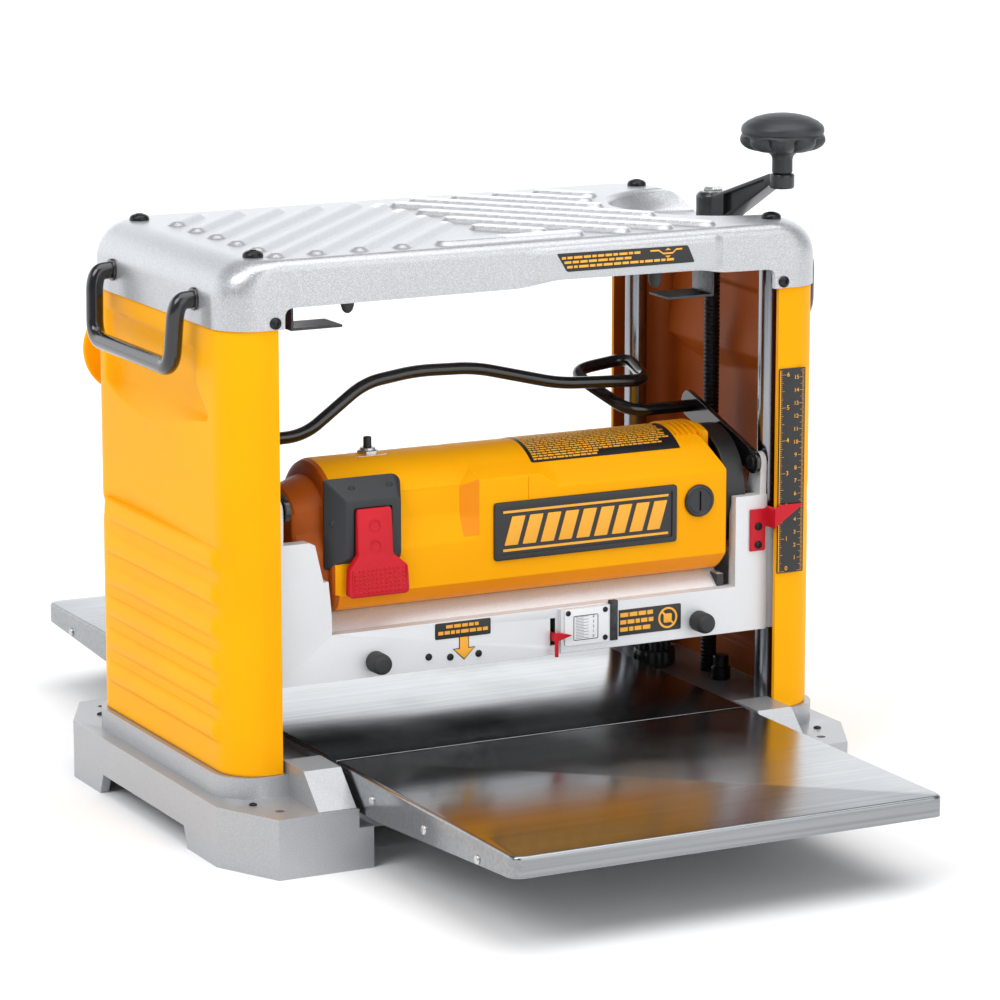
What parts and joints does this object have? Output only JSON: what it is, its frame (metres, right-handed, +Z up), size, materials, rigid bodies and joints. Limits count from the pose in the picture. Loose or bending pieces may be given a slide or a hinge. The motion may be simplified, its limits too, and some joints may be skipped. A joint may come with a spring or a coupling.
{
  "type": "thickness planer",
  "caption": "Benchtop thickness planer: open four-column frame, geared-down crank that raises the cutting head, folding tables, motor and paddle switch.",
  "frame": {"origin": "on the floor under the middle of the machine, centred between the carry handles and between the ends of the two tables", "axes": "+Z up, +Y along the feed towards the outfeed table, +X towards the crank and the height rule, with the switch at the front (-Y) left"},
  "size_m": [0.5426, 0.853, 0.513],
  "materials": {
    "base_casting": "silver hammertone paint on a casting",
    "bed_plate": "polished steel",
    "belt_guard": "black moulding",
    "breaker_button": "black moulding",
    "breaker_collar": "machined steel",
    "brush_cap": "black moulding",
    "bumper_front_left": "black rubber",
    "bumper_front_right": "black rubber",
    "bumper_rear_left": "black rubber",
    "bumper_rear_right": "black rubber",
    "cable_gland": "black rubber",
    "carry_handle_left": "gloss black",
    "carry_handle_right": "gloss black",
    "chip_hood": "black moulding",
    "column_front_left": "ground steel",
    "column_front_right": "ground steel",
    "column_rear_left": "ground steel",
    "column_rear_right": "ground steel",
    "cord_wrap": "golden yellow, satin gloss",
    "cover_bracket_left": "machined steel",
    "cover_bracket_right": "machined steel",
    "cover_screw_front_left": "black finish",
    "cover_screw_front_right": "black finish",
    "cover_screw_rear_left": "black finish",
    "cover_screw_rear_right": "black finish",
    "crank_arm": "dark grey",
    "crank_bolt": "machined steel",
    "crank_knob": "dark grey",
    "cutter_pulley": "machined steel",
    "cutterhead": "machined steel",
    "depth_stop_turret": "dark grey",
    "drive_belt": "black rubber",
    "feed_gear_case": "black moulding",
    "gauge_pointer": "red moulding",
    "gauge_scale": "white plate",
    "head_casting": "silver paint on a casting",
    "head_pointer": "red moulding",
    "height_scale": "black and orange rule",
    "infeed_roller": "black rubber",
    "infeed_table": "polished steel",
    "lead_screw_left": "plain steel",
    "lead_screw_right": "plain steel",
    "lift_chain": "plain steel",
    "lock_arm_left": "gloss black",
    "lock_arm_right": "gloss black",
    "lock_bar": "gloss black",
    "motor_armature": "wound steel core",
    "motor_badge": "black moulding",
    "motor_housing": "golden yellow, satin gloss",
    "motor_pulley": "machined steel",
    "outfeed_roller": "black rubber",
    "outfeed_table": "polished steel",
    "side_panel_left": "golden yellow, satin gloss",
    "side_panel_right": "golden yellow, satin gloss",
    "sprocket_left": "plain steel",
    "sprocket_right": "plain steel",
    "stop_post": "dark steel",
    "switch_bezel": "black moulding",
    "switch_paddle": "red moulding",
    "top_cover": "silver hammertone paint on a casting"
  },
  "bodies": {
    "frame": {"base_casting": "base_casting", "bed_plate": "bed_plate", "side_panel_left": "side_panel_left", "side_panel_right": "side_panel_right", "top_cover": "top_cover", "column_front_left": "column_front_left", "column_front_right": "column_front_right", "column_rear_left": "column_rear_left", "column_rear_right": "column_rear_right", "carry_handle_left": "carry_handle_left", "carry_handle_right": "carry_handle_right", "cover_screw_front_left": "cover_screw_front_left", "cover_screw_front_right": "cover_screw_front_right", "cover_screw_rear_left": "cover_screw_rear_left", "cover_screw_rear_right": "cover_screw_rear_right", "cover_bracket_left": "cover_bracket_left", "cover_bracket_right": "cover_bracket_right", "height_scale": "height_scale", "cord_wrap": "cord_wrap", "stop_post": "stop_post", "lift_chain": "lift_chain"},
    "crank": {"crank_arm": "crank_arm", "crank_bolt": "crank_bolt", "lead_screw_right": "lead_screw_right", "sprocket_right": "sprocket_right"},
    "left_screw": {"lead_screw_left": "lead_screw_left", "sprocket_left": "sprocket_left"},
    "head": {"head_casting": "head_casting", "motor_housing": "motor_housing", "belt_guard": "belt_guard", "switch_bezel": "switch_bezel", "motor_badge": "motor_badge", "brush_cap": "brush_cap", "cable_gland": "cable_gland", "breaker_collar": "breaker_collar", "gauge_scale": "gauge_scale", "head_pointer": "head_pointer", "bumper_front_left": "bumper_front_left", "bumper_front_right": "bumper_front_right", "bumper_rear_left": "bumper_rear_left", "bumper_rear_right": "bumper_rear_right", "chip_hood": "chip_hood", "feed_gear_case": "feed_gear_case", "drive_belt": "drive_belt"},
    "knob": {"crank_knob": "crank_knob"},
    "cutter": {"cutterhead": "cutterhead", "cutter_pulley": "cutter_pulley"},
    "rotor": {"motor_armature": "motor_armature", "motor_pulley": "motor_pulley"},
    "infeed_roll": {"infeed_roller": "infeed_roller"},
    "outfeed_roll": {"outfeed_roller": "outfeed_roller"},
    "lock": {"lock_bar": "lock_bar", "lock_arm_left": "lock_arm_left", "lock_arm_right": "lock_arm_right"},
    "infeed_leaf": {"infeed_table": "infeed_table"},
    "outfeed_leaf": {"outfeed_table": "outfeed_table"},
    "paddle": {"switch_paddle": "switch_paddle"},
    "breaker": {"breaker_button": "breaker_button"},
    "gauge": {"gauge_pointer": "gauge_pointer"},
    "turret": {"depth_stop_turret": "depth_stop_turret"}
  },
  "joints": [
    {"name": "crank_turn", "type": "hinge", "parent": "frame", "child": "crank", "pos_m": [0.224, 0, 0.44], "axis": [0, 0, -1], "range_deg": [-10997, 22540]},
    {"name": "head_lift", "type": "slide", "parent": "frame", "child": "head", "axis": [0, 0, 1], "range_m": [-0.0485, 0.0994]},
    {"name": "left_screw_turn", "type": "hinge", "parent": "frame", "child": "left_screw", "pos_m": [-0.224, 0, 0.2], "axis": [0, 0, -1], "range_deg": [-10998, 22541]},
    {"name": "knob_spin", "type": "hinge", "parent": "crank", "child": "knob", "pos_m": [0.23656, -0.08306, 0.48], "axis": [0, 0, 1], "continuous": true},
    {"name": "cutter_spin", "type": "hinge", "parent": "head", "child": "cutter", "pos_m": [0, 0, 0.1435], "axis": [1, 0, 0], "continuous": true},
    {"name": "motor_spin", "type": "hinge", "parent": "head", "child": "rotor", "pos_m": [0, -0.067, 0.229], "axis": [1, 0, 0], "continuous": true},
    {"name": "infeed_roll_spin", "type": "hinge", "parent": "head", "child": "infeed_roll", "pos_m": [0, -0.062, 0.136], "axis": [1, 0, 0], "continuous": true},
    {"name": "outfeed_roll_spin", "type": "hinge", "parent": "head", "child": "outfeed_roll", "pos_m": [0, 0.062, 0.136], "axis": [1, 0, 0], "continuous": true},
    {"name": "lock_bar_swing", "type": "hinge", "parent": "head", "child": "lock", "pos_m": [0, -0.114, 0.252], "axis": [1, 0, 0], "range_deg": [-10, 0]},
    {"name": "infeed_table_fold", "type": "hinge", "parent": "frame", "child": "infeed_leaf", "pos_m": [0, -0.1574, 0.0655], "axis": [-1, 0, 0], "range_deg": [0, 90]},
    {"name": "outfeed_table_fold", "type": "hinge", "parent": "frame", "child": "outfeed_leaf", "pos_m": [0, 0.1574, 0.0655], "axis": [1, 0, 0], "range_deg": [0, 90]},
    {"name": "switch_lift", "type": "hinge", "parent": "head", "child": "paddle", "pos_m": [-0.1322, -0.1218, 0.2515], "axis": [-1, 0, 0], "range_deg": [0, 12]},
    {"name": "breaker_press", "type": "slide", "parent": "head", "child": "breaker", "axis": [0, 0, 1], "range_m": [-0.003, 0], "stiffness_N_per_m": 400},
    {"name": "gauge_float", "type": "slide", "parent": "head", "child": "gauge", "axis": [0, 0, 1], "range_m": [0, 0.003], "stiffness_N_per_m": 80, "springref_m": -0.002},
    {"name": "depth_stop_turn", "type": "hinge", "parent": "frame", "child": "turret", "pos_m": [0.196, 0.038, 0.0607], "axis": [0, 0, 1], "range_deg": [0, 300]}
  ],
  "couplings": [
    {"joint": "head_lift", "follows": "crank_turn", "m_per_rad": 0.00025266},
    {"joint": "left_screw_turn", "follows": "crank_turn", "ratio": 1},
    {"joint": "motor_spin", "follows": "cutter_spin", "ratio": 1.6667},
    {"joint": "infeed_roll_spin", "follows": "cutter_spin", "ratio": -0.009},
    {"joint": "outfeed_roll_spin", "follows": "cutter_spin", "ratio": -0.009}
  ]
}
